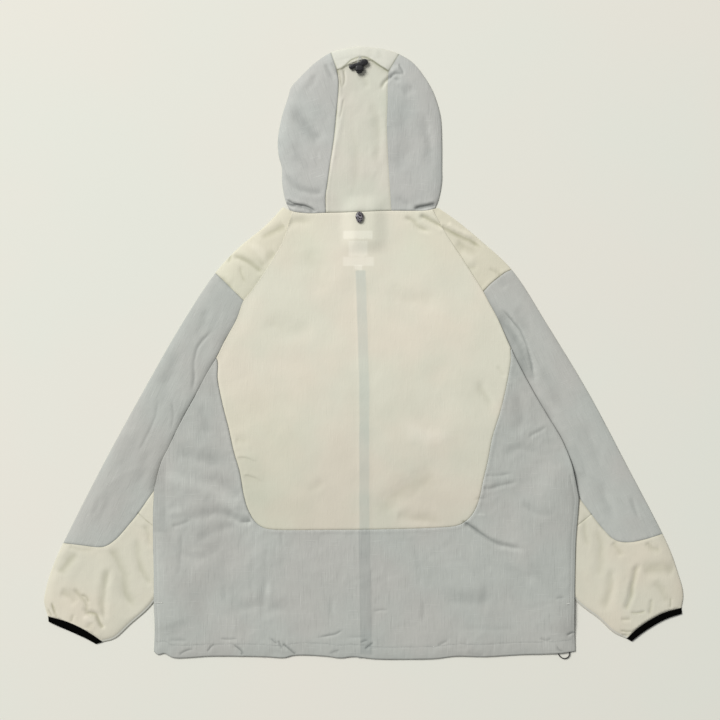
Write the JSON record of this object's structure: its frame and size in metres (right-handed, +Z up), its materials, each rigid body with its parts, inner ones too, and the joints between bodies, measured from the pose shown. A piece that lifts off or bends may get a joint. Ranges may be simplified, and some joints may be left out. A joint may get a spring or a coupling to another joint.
{
  "type": "hooded shell parka laid flat",
  "caption": "Thin two-tone hooded shell parka lying flat on its front, hood spread above, sleeves angled down at the sides.",
  "frame": {"origin": "on the surface it lies on, under the middle of the whole garment", "axes": "+Z up from the surface, +Y from the hem to the hood, +X towards the wearer's right sleeve"},
  "size_m": [1.051, 1.0096, 0.0151],
  "materials": {
    "ivory_nylon": "smooth matt nylon, soft undulations",
    "grey_nylon": "crinkled grey nylon with fine lengthwise streaks",
    "zip_tape": "woven tape",
    "zip_chain": "moulded coil",
    "zip_metal": "satin",
    "label_cloth": "plain woven label, blank",
    "black_binding": "ribbed stretch binding",
    "black_plastic": "moulded, matt",
    "lock_plastic": "moulded, fine speckle",
    "black_cord": "braided elastic"
  },
  "bodies": {
    "parka": {"back_upper": "ivory_nylon", "back_lower": "grey_nylon", "front_upper_left": "ivory_nylon", "front_upper_right": "ivory_nylon", "front_lower_left": "grey_nylon", "front_lower_right": "grey_nylon", "zip_tape": "zip_tape", "zip_chain": "zip_chain", "zip_slider": "zip_metal", "neck_label": "label_cloth", "care_label_upper": "label_cloth", "care_label_lower": "label_cloth", "sleeve_cap_left": "ivory_nylon", "sleeve_cap_right": "ivory_nylon", "sleeve_main_left": "grey_nylon", "sleeve_main_right": "grey_nylon", "sleeve_gusset_left": "ivory_nylon", "sleeve_gusset_right": "ivory_nylon", "sleeve_lower_left": "ivory_nylon", "sleeve_lower_right": "ivory_nylon", "cuff_binding_left": "black_binding", "cuff_binding_right": "black_binding", "hood_centre": "ivory_nylon", "hood_side_left": "grey_nylon", "hood_side_right": "grey_nylon", "hood_brim": "ivory_nylon", "hood_cord_lock": "black_plastic", "neck_cord_lock": "lock_plastic", "hem_cord": "black_cord"},
    "pull_tab": {"zip_pull": "zip_metal"}
  },
  "joints": [
    {"name": "pull_tab_swing", "type": "hinge", "parent": "parka", "child": "pull_tab", "pos_m": [0, 0.22, 0.002], "axis": [1, 0, 0], "range_deg": [0, 150]}
  ]
}
